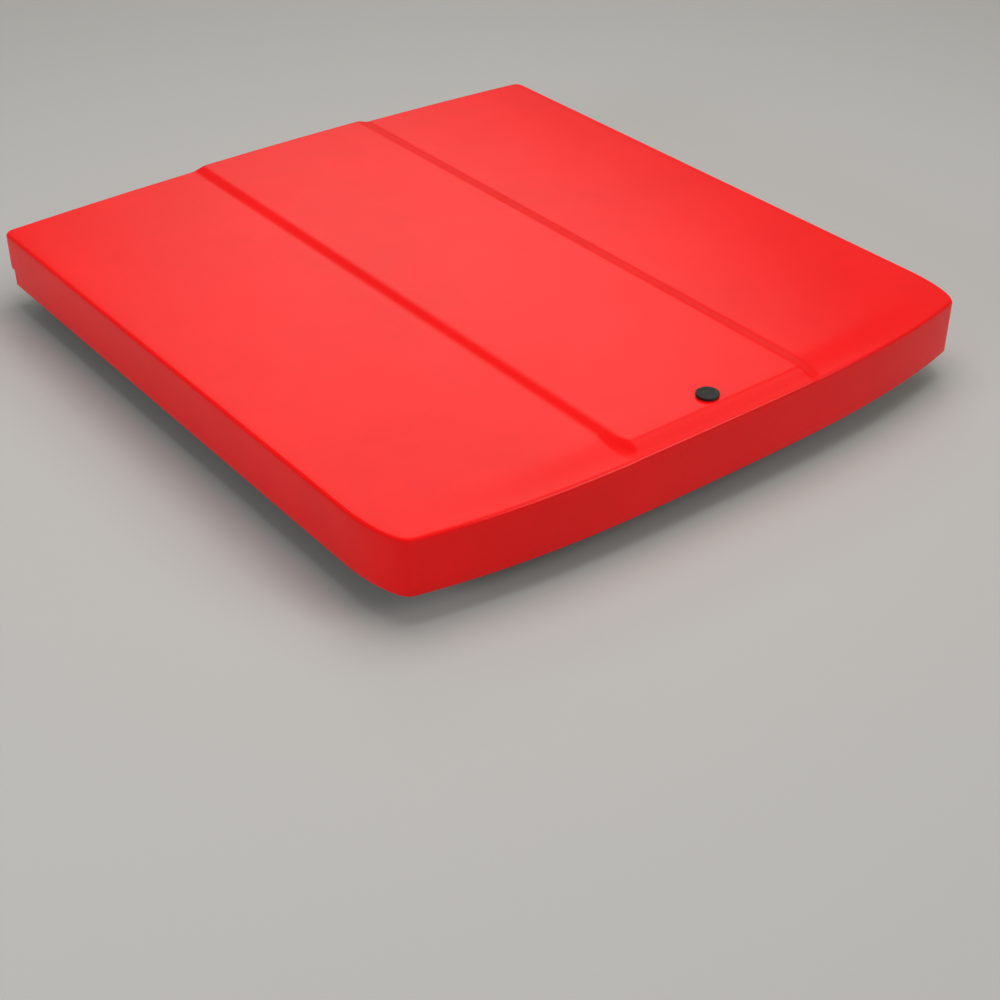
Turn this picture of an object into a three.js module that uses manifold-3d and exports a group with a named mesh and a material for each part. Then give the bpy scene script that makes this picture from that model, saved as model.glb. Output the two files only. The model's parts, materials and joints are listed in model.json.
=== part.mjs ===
// A hard, one-piece tonneau cover for a short pickup bed: a painted lid with its hinges, lock and gas struts,
// and the clamp-on frame that it closes on. Millimetres, +Z up, +Y to the cab, +X to the right of the truck.
// The origin is the middle of the front rail's underside, and Z = 0 is the top of the bed rails.
import * as THREE from "three";
import { mergeVertices } from "three/addons/utils/BufferGeometryUtils.js";
import Module from "manifold-3d";

const wasm = await Module();
wasm.setup();

// Lid
const lidWidth = 1720;
const lidCornerLength = 1757; // front edge to the line through the two rear corners
const rearBow = 82; // how far the middle of the rear edge stands behind that line
const rearCornerSweep = 165; // each rear corner is a quarter ellipse: this far along the side
const rearCornerReach = 50; // and this far across the rear
const frontCornerRadius = 25;
const frontEdgeY = 30;
const lidCornerHeight = 144; // top of the lid at its side edges
const rearCrown = 8;
const middleCrown = 18;
const panelHalfWidth = 252;
const panelSlopeWidth = 46;
const panelRaise = 9;
const sideRampLength = 120;
const panelRampLength = 50;
const skinThickness = 4;
const skirtBottom = 3;
const frontSkirtBottom = 45;
const frontNotchLength = 38;
const linerThickness = 3;
const linerInset = 45;

// Ribs under the lid
const ribWall = 2.5;
const bowWidth = 30;
const bowDepth = 25;
const stringerInset = 71; // middle of a stringer to the side rail's web
const stringerWidth = 30;
const stringerDepth = 30;
const frontBowFront = 2;
const rearBowGap = 110; // rear face of the rear bow to the line of the rear corners
const stringerRearGap = 95;

// Seals
const skirtSealWidth = 9;
const skirtSealHeight = 18;
const frontSealWidth = 10;
const frontSealHeight = 19.7;
const railSealThickness = 2;

// Bed frame
const railWebInset = 89; // side of the lid to the inner face of the side rail's web
const railWebThickness = 4;
const railWebDepth = 50;
const railWidth = 50;
const railTop = 18;
const railWall = 2.5;
const railFront = 24;
const railRearGap = 68; // rear end of the side rails to the line of the rear corners
const frontRailDepth = 50;
const cornerPlateThickness = 4;
const cornerPlateArm = 80;

// Hinges
const hingeX = 520;
const hingeY = 12;
const hingeZ = 70;
const hingePinRadius = 4.6;
const knuckleRadius = 10;
const knuckleWidth = 25;
const earThickness = 5;
const leafThickness = 5;
const leafTopClearance = 3; // top of the leaf to the top of the front bow

// Lock
const lockInset = 82; // lock axis to the rear edge on the centreline
const lockCoverRadius = 27;
const lockCoverThickness = 3;
const gasketThickness = 1;
const bezelThickness = 2.5;
const barrelRadius = 16;
const barrelBottom = 100;
const keyCylinderRadius = 10.8;
const nutWall = 7;
const nutThickness = 9;
const rivetRadius = 2;
const rivetOffset = 21;
const rodLevel = 79; // middle of the lock rods
const rodThickness = 4;
const rodWidth = 12;
const rodRunGap = 112; // line of the rods' outer run to the line of the rear corners
const rodTipInset = 5; // tip of a drawn-back rod to the side rail's web
const camPinRadius = 3;
const camRadius = 26;
const camSwing = 50; // degrees
const camThickness = 4;

// Gas struts
const strutInset = 26; // middle of a strut to the side rail's web
const strutBase = { back: 200, down: 110 }; // from the hinge axis
const strutTop = { back: 500, up: 25 };
const strutStroke = 92;
const strutRodRadius = 5;
const strutCylinderRadius = 11;
const strutEyeRadius = 10;
const strutEyeWidth = 9;
const studRadius = 4;

// Clamps
const frontClampBack = 120; // behind the origin
const rearClampInset = 160; // ahead of the side rails' rear ends
const clampWidth = 40;
const clampWall = 10;
const lipGap = 15; // room for the bed's lip, outside the rail web
const clampBottom = 72;
const clampScrewRadius = 4.8;
const clampScrewLevel = -42;
const clampTravel = 15;
const clampPadThickness = 4;

// Clearances
const gap = 0.3;
const holeClearance = 0.6;

// Worked out from the sizes above
const halfWidth = lidWidth / 2;
const rearCornerY = frontEdgeY - lidCornerLength;
const rearApexY = rearCornerY - rearBow;
const lockY = rearApexY + lockInset;
const railRearY = rearCornerY + railRearGap;
const railWebX = halfWidth - railWebInset;
const stringerX = railWebX - stringerInset;
const strutX = railWebX - strutInset;
const rodTipX = railWebX - rodTipInset;
const rodRunY = rearCornerY + rodRunGap;
const railBottom = railSealThickness + gap;
const hingeBore = hingePinRadius + holeClearance;
const studBore = studRadius + holeClearance;
const barrelBore = keyCylinderRadius + holeClearance;
const nutRadius = barrelRadius + nutWall;
const railOuterX = railWebX + railWidth;
const railWebOuterX = railWebX + railWebThickness;

const painted = { color: 0xd3141c, roughness: 0.16, metalness: 0 };
const mouldedBlack = { color: 0x1c1d1e, roughness: 0.62, metalness: 0 };
const anodised = { color: 0x2a2b2d, roughness: 0.42, metalness: 0.7 };
const millAluminium = { color: 0xb4b7ba, roughness: 0.38, metalness: 0.9 };
const rubber = { color: 0x161616, roughness: 0.88, metalness: 0 };
const zincSteel = { color: 0xa9adb0, roughness: 0.36, metalness: 0.95 };
const blackSteel = { color: 0x17181a, roughness: 0.34, metalness: 0.4 };
const chromedSteel = { color: 0xd6d8da, roughness: 0.08, metalness: 1 };

const cover = new THREE.Group();

// One closed solid from a geometry, and a geometry from a solid.
function toSolid(geometry) {
  const bare = geometry.clone();
  bare.deleteAttribute("normal");
  bare.deleteAttribute("uv");
  const merged = mergeVertices(bare, 1e-4);
  const vertProperties = merged.attributes.position.array;
  const triVerts = new Uint32Array(merged.index.array);
  return new wasm.Manifold(new wasm.Mesh({ numProp: 3, vertProperties, triVerts }));
}

function toGeometry(solid) {
  const mesh = solid.getMesh();
  const indexed = new THREE.BufferGeometry();
  indexed.setAttribute("position", new THREE.BufferAttribute(mesh.vertProperties, 3));
  indexed.setIndex(new THREE.BufferAttribute(mesh.triVerts, 1));
  const geometry = indexed.toNonIndexed();
  geometry.computeVertexNormals();
  return geometry;
}

function join(first, ...others) {
  return toGeometry(others.reduce((solid, other) => solid.add(toSolid(other)), toSolid(first)));
}

function cut(first, ...tools) {
  return toGeometry(tools.reduce((solid, tool) => solid.subtract(toSolid(tool)), toSolid(first)));
}

function common(first, second) {
  return toGeometry(toSolid(first).intersect(toSolid(second)));
}

function addMesh(name, geometry, finish, parent = cover) {
  const mesh = new THREE.Mesh(geometry, new THREE.MeshStandardMaterial(finish));
  mesh.name = name;
  parent.add(mesh);
  return mesh;
}

// The right-hand piece as drawn, and its mirror image on the left.
function addPair(name, geometry, finish) {
  addMesh(`${name}_right`, geometry, finish);
  addMesh(`${name}_left`, geometry, finish).scale.x = -1;
}

function block(x, y, z) {
  const geometry = new THREE.BoxGeometry(x[1] - x[0], y[1] - y[0], z[1] - z[0]);
  return geometry.translate((x[0] + x[1]) / 2, (y[0] + y[1]) / 2, (z[0] + z[1]) / 2);
}

function pinAlongX(radius, x, y, z, sides = 20) {
  const geometry = new THREE.CylinderGeometry(radius, radius, x[1] - x[0], sides);
  return geometry.rotateZ(-Math.PI / 2).translate((x[0] + x[1]) / 2, y, z);
}

function pinAlongZ(radius, x, y, z, sides = 24) {
  const geometry = new THREE.CylinderGeometry(radius, radius, z[1] - z[0], sides);
  return geometry.rotateX(Math.PI / 2).translate(x, y, (z[0] + z[1]) / 2);
}

function prism(shape, z) {
  const geometry = new THREE.ExtrudeGeometry(shape, { depth: z[1] - z[0], bevelEnabled: false });
  return geometry.translate(0, 0, z[0]);
}

// A section drawn in X and Z, run along Y.
function barAlongY(shape, y) {
  const geometry = new THREE.ExtrudeGeometry(shape, { depth: y[1] - y[0], bevelEnabled: false });
  return geometry.rotateX(Math.PI / 2).translate(0, y[1], 0);
}

// A section drawn in Y and Z, run along X.
function barAlongX(shape, x) {
  const geometry = new THREE.ExtrudeGeometry(shape, { depth: x[1] - x[0], bevelEnabled: false });
  return geometry.rotateX(Math.PI / 2).rotateZ(Math.PI / 2).translate(x[0], 0, 0);
}

function shapeOf(...corners) {
  return new THREE.Shape(corners.map(([x, y]) => new THREE.Vector2(x, y)));
}

// Plan of the lid: the rear edge bows backwards, most in the middle.
function rearEdgeAt(x) {
  return rearCornerY - rearBow * (1 - Math.abs(x / halfWidth) ** 3);
}

function outline(inset) {
  const side = halfWidth - inset;
  const front = frontEdgeY - inset;
  const sweep = rearCornerSweep - inset;
  const reach = Math.max(rearCornerReach - inset, 4);
  const right = [];
  const frontRadius = Math.max(frontCornerRadius - inset, 4);
  for (let step = 0; step <= 3; step++) {
    const turn = (Math.PI / 2) * (1 - step / 3);
    right.push([side - frontRadius * (1 - Math.cos(turn)), front - frontRadius * (1 - Math.sin(turn))]);
  }
  for (let step = 0; step <= 6; step++) {
    const turn = (Math.PI / 12) * step;
    const x = side - reach * (1 - Math.cos(turn));
    right.push([x, rearEdgeAt(x) + inset + sweep * (1 - Math.sin(turn))]);
  }
  for (let step = 1; step <= 6; step++) {
    const x = (side - reach) * (1 - step / 6);
    right.push([x, rearEdgeAt(x) + inset]);
  }
  const left = right.slice(0, -1).reverse();
  return shapeOf(...right, ...left.map(([x, y]) => [-x, y]));
}

// Top of the lid: a crown across the width, a raised middle panel, and a ramp down to the rear edge.
function smoothStep(share) {
  const held = Math.min(Math.max(share, 0), 1);
  return held * held * (3 - 2 * held);
}

function panelShare(x) {
  return smoothStep((panelHalfWidth + panelSlopeWidth - Math.abs(x)) / panelSlopeWidth);
}

function rampLengthAt(x) {
  return sideRampLength + (panelRampLength - sideRampLength) * panelShare(x);
}

function lidTopAt(x, y) {
  const ramp = smoothStep((y - rearEdgeAt(x)) / rampLengthAt(x));
  const across = 1 - (x / halfWidth) ** 2;
  const crown = across * (rearCrown + (middleCrown - rearCrown) * ramp);
  return lidCornerHeight + crown + panelRaise * panelShare(x) * ramp;
}

// A box whose columns and rows are moved onto given lines, and whose top and bottom follow given heights.
function slab(columns, rows, topAt, bottomAt) {
  const geometry = new THREE.BoxGeometry(1, 1, 1, columns.length - 1, rows.length - 1, 1);
  const position = geometry.attributes.position;
  for (let i = 0; i < position.count; i++) {
    const x = columns[Math.round((position.getX(i) + 0.5) * (columns.length - 1))];
    const y = rows[Math.round((position.getY(i) + 0.5) * (rows.length - 1))](x);
    position.setXYZ(i, x, y, position.getZ(i) > 0 ? topAt(x, y) : bottomAt(x, y));
  }
  return geometry;
}

const overhang = 25; // the slabs run past the outline that trims them
const panelFoot = panelHalfWidth + panelSlopeWidth;
const panelMiddle = panelHalfWidth + panelSlopeWidth / 2;
const sideStep = (halfWidth - panelFoot) / 5;
const halfColumns = [panelHalfWidth / 2, panelHalfWidth, panelMiddle, panelFoot];
for (let step = 1; step <= 5; step++) halfColumns.push(panelFoot + sideStep * step);
halfColumns.push(halfWidth + overhang);
const lidColumns = [...halfColumns.map((x) => -x).reverse(), 0, ...halfColumns];

const lidRows = [(x) => rearEdgeAt(x) - overhang];
for (let step = 0; step <= 4; step++) lidRows.push((x) => rearEdgeAt(x) + (rampLengthAt(x) * step) / 4);
lidRows.push((x) => rearEdgeAt(x) + sideRampLength * 1.3);
lidRows.push(() => frontEdgeY + overhang);

function lidSlab(depth, thickness) {
  const topAt = (x, y) => lidTopAt(x, y) - depth;
  return slab(lidColumns, lidRows, topAt, (x, y) => topAt(x, y) - thickness);
}

const wellBelow = -50;
const wellAbove = 300;
const linerDepth = skinThickness + gap;
const ribTopDepth = linerDepth + linerThickness + gap;
const lockHole = pinAlongZ(barrelRadius + holeClearance, 0, lockY, [wellBelow, wellAbove]);

function makeSkin() {
  const outside = common(
    slab(lidColumns, lidRows, lidTopAt, () => skirtBottom),
    prism(outline(0), [wellBelow, wellAbove]),
  );
  const inside = common(
    slab(lidColumns, lidRows, (x, y) => lidTopAt(x, y) - skinThickness, () => wellBelow),
    prism(outline(skinThickness), [wellBelow, wellAbove]),
  );
  const notch = block(
    [-lidWidth, lidWidth],
    [frontEdgeY - frontNotchLength, frontEdgeY + overhang],
    [wellBelow, frontSkirtBottom],
  );
  return cut(outside, inside, notch, lockHole);
}

function makeLiner() {
  const sheet = common(
    lidSlab(linerDepth, linerThickness),
    prism(outline(linerInset), [wellBelow, wellAbove]),
  );
  return cut(sheet, lockHole);
}

addMesh("lid_skin", makeSkin(), painted);
addMesh("inner_liner", makeLiner(), mouldedBlack);

// Ribs: channels that are open below and follow the lid's underside.
function channel(x, y, depth) {
  const columns = [x[0], ...lidColumns.filter((c) => c > x[0] + 1 && c < x[1] - 1), x[1]];
  const topAt = (px, py) => lidTopAt(px, py) - ribTopDepth;
  const outer = slab(columns, [() => y[0], () => y[1]], topAt, (px, py) => topAt(px, py) - depth);
  const alongX = x[1] - x[0] > y[1] - y[0];
  const endX = alongX ? -overhang : ribWall;
  const endY = alongX ? ribWall : -overhang;
  const innerColumns = [x[0] + endX, ...columns.slice(1, -1), x[1] - endX];
  const innerRows = [() => y[0] + endY, () => y[1] - endY];
  const hollow = slab(innerColumns, innerRows, (px, py) => topAt(px, py) - ribWall, () => 0);
  return cut(outer, hollow);
}

const bowEnd = stringerX - stringerWidth / 2 - gap;
const frontBowY = [frontBowFront - bowWidth, frontBowFront];
const rearBowY = [rearCornerY + rearBowGap, rearCornerY + rearBowGap + bowWidth];
const middleBowStart = (frontBowY[0] + rearBowY[0]) / 2;
const bows = { front_bow: frontBowY, middle_bow: [middleBowStart, middleBowStart + bowWidth], rear_bow: rearBowY };
for (const [name, y] of Object.entries(bows)) {
  addMesh(name, channel([-bowEnd, bowEnd], y, bowDepth), millAluminium);
}
const stringerRearY = rearCornerY + stringerRearGap;
const stringerSides = [stringerX - stringerWidth / 2, stringerX + stringerWidth / 2];
addPair("stringer", channel(stringerSides, [stringerRearY, frontBowFront], stringerDepth), millAluminium);

// Seal inside the foot of the side and rear skirts.
function makeSkirtSeal() {
  const sealInset = skinThickness + gap;
  const ring = cut(
    prism(outline(sealInset), [0, skirtSealHeight]),
    prism(outline(sealInset + skirtSealWidth), [-1, skirtSealHeight + 1]),
  );
  const open = block(
    [-lidWidth, lidWidth],
    [frontEdgeY - frontNotchLength - overhang, frontEdgeY + overhang],
    [wellBelow, wellAbove],
  );
  return cut(ring, open);
}
addMesh("skirt_seal", makeSkirtSeal(), rubber);

// Bed frame: hollow side rails with a web that hangs inside the bed, and a hollow front rail between them.
function makeSideRail() {
  const section = shapeOf(
    [railWebX, -railWebDepth],
    [railWebOuterX, -railWebDepth],
    [railWebOuterX, railBottom],
    [railOuterX, railBottom],
    [railOuterX, railTop],
    [railWebX, railTop],
  );
  const inner = shapeOf(
    [railWebOuterX, railBottom + railWall],
    [railOuterX - railWall, railBottom + railWall],
    [railOuterX - railWall, railTop - railWall],
    [railWebOuterX, railTop - railWall],
  );
  section.holes.push(inner);
  return barAlongY(section, [railRearY, railFront]);
}

function makeFrontRail(end) {
  const rear = -frontRailDepth / 2;
  const section = shapeOf([rear, 0], [-rear, 0], [-rear, railTop], [rear, railTop]);
  const low = railWall;
  const high = railTop - railWall;
  section.holes.push(
    shapeOf([rear + railWall, low], [-rear - railWall, low], [-rear - railWall, high], [rear + railWall, high]),
  );
  return barAlongX(section, [-end, end]);
}

const frontRailEnd = railWebX - gap;
addPair("side_rail", makeSideRail(), anodised);
addMesh("front_rail", makeFrontRail(frontRailEnd), anodised);
const railSeal = block([railWebOuterX + gap, railOuterX], [railRearY, railFront], [0, railSealThickness]);
addPair("rail_seal", railSeal, rubber);

const onRail = railTop + gap;
const frontSealStart = frontEdgeY - skinThickness - frontSealWidth;
const frontSeal = block(
  [-frontRailEnd, frontRailEnd],
  [frontSealStart, frontSealStart + frontSealWidth - 1],
  [onRail, onRail + frontSealHeight],
);
addMesh("front_seal", frontSeal, rubber);

function makeCornerPlate() {
  const rear = -frontRailDepth / 2;
  const plate = shapeOf(
    [frontRailEnd - cornerPlateArm, rear],
    [railWebX, rear],
    [railWebX, rear - cornerPlateArm],
    [railOuterX - railWall, rear - cornerPlateArm],
    [railOuterX - railWall, frontSealStart - 1],
    [frontRailEnd - cornerPlateArm, frontSealStart - 1],
  );
  return prism(plate, [onRail, onRail + cornerPlateThickness]);
}
addPair("corner_plate", makeCornerPlate(), zincSteel);

// Hinges: a bracket with two ears on the front rail, a leaf on the front bow, and a pin that pulls out inwards.
function makeHingeBase() {
  const earBase = [-18, 8];
  const earGap = knuckleWidth / 2 + gap;
  const plateTop = onRail + cornerPlateThickness;
  const plate = block([hingeX - 26, hingeX + 26], earBase, [onRail, plateTop]);
  const ears = [hingeX - earGap - earThickness, hingeX + earGap].map((x) => {
    const side = shapeOf(
      [earBase[0], onRail],
      [earBase[1], onRail],
      [earBase[1], hingeZ - 14],
      [hingeY + 4, hingeZ - 8],
      [hingeY - 6, hingeZ + 7],
    );
    const web = barAlongX(side, [x, x + earThickness]);
    return join(web, pinAlongX(knuckleRadius, [x, x + earThickness], hingeY, hingeZ));
  });
  const bore = pinAlongX(hingeBore, [hingeX - 60, hingeX + 60], hingeY, hingeZ);
  return cut(join(plate, ...ears), bore);
}

function makeHingeLeaf() {
  const width = [hingeX - knuckleWidth / 2, hingeX + knuckleWidth / 2];
  const plateBack = frontBowFront + gap;
  const leafTop = lidTopAt(hingeX, frontBowFront) - ribTopDepth - leafTopClearance;
  const plate = block(width, [plateBack, plateBack + leafThickness], [hingeZ + 4, leafTop]);
  const knuckle = pinAlongX(knuckleRadius, width, hingeY, hingeZ);
  const bore = pinAlongX(hingeBore, [hingeX - 60, hingeX + 60], hingeY, hingeZ);
  return cut(join(plate, knuckle), bore);
}

function makeHingePin() {
  const inner = hingeX - knuckleWidth / 2 - earThickness - 4;
  const outer = hingeX + knuckleWidth / 2 + earThickness + 3;
  const shank = pinAlongX(hingePinRadius, [inner, outer], hingeY, hingeZ);
  const head = pinAlongX(knuckleRadius - 2, [inner - 9, inner], hingeY, hingeZ);
  return join(shank, head);
}

addPair("hinge_base", makeHingeBase(), zincSteel);
addPair("hinge_leaf", makeHingeLeaf(), zincSteel);
addPair("hinge_pin", makeHingePin(), chromedSteel);

// Lock: gasket, bezel and barrel, nut, key cylinder, cam, and a swinging dust cover on its rivet.
const lockTop = lidTopAt(0, lockY);
const gasketBottom = lockTop + gap;
const bezelBottom = gasketBottom + gasketThickness + gap;
const bezelTop = bezelBottom + bezelThickness;
const coverBottom = bezelTop + gap;
const coverTop = coverBottom + lockCoverThickness;
const rivetY = lockY + rivetOffset;

const gasketRing = cut(
  pinAlongZ(lockCoverRadius - 1, 0, lockY, [gasketBottom, gasketBottom + gasketThickness], 32),
  lockHole,
);
addMesh("lock_gasket", gasketRing, rubber);

const barrel = cut(
  join(
    pinAlongZ(lockCoverRadius - 0.5, 0, lockY, [bezelBottom, bezelTop], 32),
    pinAlongZ(barrelRadius, 0, lockY, [barrelBottom, bezelTop - 1]),
  ),
  pinAlongZ(barrelBore, 0, lockY, [wellBelow, wellAbove]),
);
addMesh("lock_barrel", barrel, mouldedBlack);

const nutTop = lockTop - ribTopDepth;
const nut = cut(pinAlongZ(nutRadius, 0, lockY, [nutTop - nutThickness, nutTop], 6), lockHole);
addMesh("lock_nut", nut, zincSteel);

const camTop = rodLevel + rodThickness / 2 + 1.5 + camThickness;
const keyway = block([-1.2, 1.2], [lockY - 4.5, lockY + 4.5], [bezelTop - 5, bezelTop + 1]);
const keyCylinder = cut(
  pinAlongZ(keyCylinderRadius, 0, lockY, [camTop + gap, bezelTop - 0.5]),
  keyway,
);
addMesh("key_cylinder", keyCylinder, zincSteel);

const halfSwing = THREE.MathUtils.degToRad(camSwing / 2);
const camPinTravel = camRadius * Math.sin(halfSwing);
const camPinReach = camRadius * Math.cos(halfSwing);
function makeCam() {
  const bar = block([-7, 7], [-camRadius - 6, camRadius + 6], [camTop - camThickness, camTop]);
  const pinZ = [rodLevel - rodThickness / 2 - 2, camTop - 1];
  const pins = [-camRadius, camRadius].map((y) => pinAlongZ(camPinRadius, 0, y, pinZ, 16));
  return join(bar, ...pins).rotateZ(-halfSwing).translate(0, lockY, 0);
}
addMesh("lock_cam", makeCam(), zincSteel);

const dustCover = cut(
  pinAlongZ(lockCoverRadius, 0, lockY, [coverBottom, coverTop], 40),
  pinAlongZ(rivetRadius + gap, 0, rivetY, [coverBottom - 1, coverTop + 1], 12),
);
addMesh("lock_dust_cover", dustCover, mouldedBlack);
const rivet = join(
  pinAlongZ(rivetRadius, 0, rivetY, [bezelTop + gap, coverTop + 1], 12),
  pinAlongZ(rivetRadius + 1.6, 0, rivetY, [coverTop + gap, coverTop + 1.3], 12),
);
addMesh("cover_rivet", rivet, blackSteel);

// Lock rods: flat bars from the cam's pins to the sides, each with a slotted eye, through a guide to a keeper.
function makeLockRod(side) {
  const eyeX = -side * camPinTravel;
  const eyeY = lockY - (side * (camPinReach + camRadius)) / 2;
  const bendX = side * 62;
  const jog = rodRunY - eyeY;
  const runX = side * (62 + jog * 1.15);
  const tipX = side * rodTipX;
  const half = rodWidth / 2;
  const edge = (offset) => [
    [eyeX, eyeY + offset],
    [bendX - side * offset * 0.5, eyeY + offset],
    [runX - side * offset * 0.5, rodRunY + offset],
    [tipX, rodRunY + offset],
  ];
  const levels = [rodLevel - rodThickness / 2, rodLevel + rodThickness / 2];
  const bar = prism(shapeOf(...edge(-half), ...edge(half).reverse()), levels);
  const eye = pinAlongZ(rodWidth * 0.85, eyeX, eyeY, levels);
  const slotX = camPinRadius + holeClearance;
  const slotY = (camRadius - camPinReach) / 2 + camPinRadius + holeClearance;
  const slot = block([eyeX - slotX, eyeX + slotX], [eyeY - slotY, eyeY + slotY], [wellBelow, wellAbove]);
  return cut(join(bar, eye), slot);
}
addMesh("lock_rod_right", makeLockRod(1), zincSteel);
addMesh("lock_rod_left", makeLockRod(-1), zincSteel);

const rodWindowY = [rodRunY - rodWidth / 2 - holeClearance, rodRunY + rodWidth / 2 + holeClearance];
const rodWindowZ = [
  rodLevel - rodThickness / 2 - holeClearance,
  rodLevel + rodThickness / 2 + holeClearance,
];
const rodWindow = block([stringerX - 100, stringerX + 100], rodWindowY, rodWindowZ);

const guideTop = lidTopAt(stringerSides[1], stringerRearY) - ribTopDepth - stringerDepth - gap;
const guideY = [rodRunY - 14, rodRunY + 14];
const rodGuide = cut(
  block(stringerSides, guideY, [rodLevel - 9, guideTop]),
  rodWindow,
);
addPair("rod_guide", rodGuide, mouldedBlack);

const keeperX = railWebX + 3;
const keeper = cut(
  join(
    block([keeperX, railOuterX - 8], guideY, [onRail, onRail + 4]),
    block([keeperX, keeperX + 4], guideY, [onRail, rodLevel + 14]),
  ),
  rodWindow,
);
addPair("keeper", keeper, zincSteel);

// Gas struts, drawn along +Y from the base stud and then turned up towards the lid.
const strutRise = strutTop.up + strutBase.down;
const strutRun = strutTop.back - strutBase.back;
const strutLength = Math.hypot(strutRun, strutRise);
const strutAngle = Math.atan2(strutRise, strutRun);
const cylinderStart = strutEyeRadius + 18;
const cylinderEnd = strutLength - strutEyeRadius;
const rodEnd = cylinderStart + strutStroke + 60;

function latheAlongY(...profile) {
  return new THREE.LatheGeometry(profile.map(([r, y]) => new THREE.Vector2(r, y)), 16);
}

function strutEye(y) {
  return pinAlongX(strutEyeRadius, [-strutEyeWidth / 2, strutEyeWidth / 2], y, 0);
}

function studHole(y) {
  return pinAlongX(studBore, [-strutEyeWidth, strutEyeWidth], y, 0);
}

const strutRod = cut(
  join(
    latheAlongY([0, 6], [strutRodRadius, 6], [strutRodRadius, rodEnd], [0, rodEnd]),
    strutEye(0),
  ),
  studHole(0),
);
const boreRadius = strutRodRadius + holeClearance;
const boreEnd = rodEnd + 12;
const strutCylinder = cut(
  join(
    latheAlongY(
      [0, boreEnd],
      [boreRadius, boreEnd],
      [boreRadius, cylinderStart],
      [strutCylinderRadius, cylinderStart],
      [strutCylinderRadius, cylinderEnd],
      [strutRodRadius, cylinderEnd + 2],
      [strutRodRadius, strutLength - 6],
      [0, strutLength - 6],
    ),
    strutEye(strutLength),
  ),
  studHole(strutLength),
);
const bracketX = [stringerSides[1] + gap, stringerSides[1] + gap + 4];
const topStud = pinAlongX(studRadius, [bracketX[1] + gap - strutX, 8], strutLength, 0, 16);

for (const [side, sign] of [["right", 1], ["left", -1]]) {
  const strut = new THREE.Group();
  strut.position.set(sign * strutX, hingeY - strutBase.back, hingeZ - strutBase.down);
  strut.rotation.x = Math.PI - strutAngle;
  strut.scale.x = sign;
  addMesh(`strut_rod_${side}`, strutRod, chromedSteel, strut);
  addMesh(`strut_cylinder_${side}`, strutCylinder, blackSteel, strut);
  addMesh(`strut_top_stud_${side}`, topStud, zincSteel, strut);
  cover.add(strut);
}

const baseStudY = hingeY - strutBase.back;
const baseStudZ = hingeZ - strutBase.down;
const basePlateX = [railWebX - gap - 4, railWebX - gap];
const strutBaseBracket = join(
  block(basePlateX, [baseStudY - 28, baseStudY + 28], [baseStudZ - 14, baseStudZ + 34]),
  pinAlongX(studRadius, [strutX - 8, basePlateX[1] - 1], baseStudY, baseStudZ, 16),
);
addPair("strut_base_bracket", strutBaseBracket, zincSteel);

const topStudY = hingeY - strutTop.back;
const topStudZ = hingeZ + strutTop.up;
const strutTopBracket = block(
  bracketX,
  [topStudY - 28, topStudY + 28],
  [topStudZ - 12, lidTopAt(bracketX[1], topStudY) - ribTopDepth],
);
addPair("strut_top_bracket", strutTopBracket, zincSteel);

// Clamps: a C round the foot of the rail web and the bed's lip, tightened by a screw from inside the bed.
const clampOuterX = railWebOuterX + lipGap;
const screwTipX = railWebX - gap;
const clampInnerX = screwTipX - clampPadThickness - clampTravel - gap;
const jawTop = -20;
function makeClamp() {
  const section = shapeOf(
    [clampInnerX - clampWall, -clampBottom],
    [clampOuterX + clampWall, -clampBottom],
    [clampOuterX + clampWall, jawTop + 8],
    [clampOuterX, jawTop + 8],
    [clampOuterX, -clampBottom + clampWall],
    [clampInnerX, -clampBottom + clampWall],
    [clampInnerX, jawTop],
    [clampInnerX - clampWall, jawTop],
  );
  const thread = pinAlongX(clampScrewRadius + holeClearance, [railWebX - 100, railWebX - 10], 0, clampScrewLevel);
  return cut(barAlongY(section, [-clampWidth / 2, clampWidth / 2]), thread);
}

function makeClampScrew() {
  const headEnd = clampInnerX - clampWall - clampTravel / 2 - 4;
  return join(
    pinAlongX(clampScrewRadius, [headEnd, screwTipX - 1], 0, clampScrewLevel),
    pinAlongX(clampScrewRadius + 4, [screwTipX - clampPadThickness, screwTipX], 0, clampScrewLevel),
    pinAlongX(clampScrewRadius + 5.5, [headEnd - 9, headEnd], 0, clampScrewLevel, 6),
  );
}

const clampBody = makeClamp();
const clampScrew = makeClampScrew();
const rearClampY = railRearY + rearClampInset;
const clampRows = { front: -frontClampBack, middle: (rearClampY - frontClampBack) / 2, rear: rearClampY };
for (const [row, y] of Object.entries(clampRows)) {
  addPair(`${row}_clamp`, clampBody.clone().translate(0, y, 0), anodised);
  addPair(`${row}_clamp_screw`, clampScrew.clone().translate(0, y, 0), zincSteel);
}

export default cover;
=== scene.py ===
import json
import math
import bmesh
import bpy
from mathutils import Matrix, Vector

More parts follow.
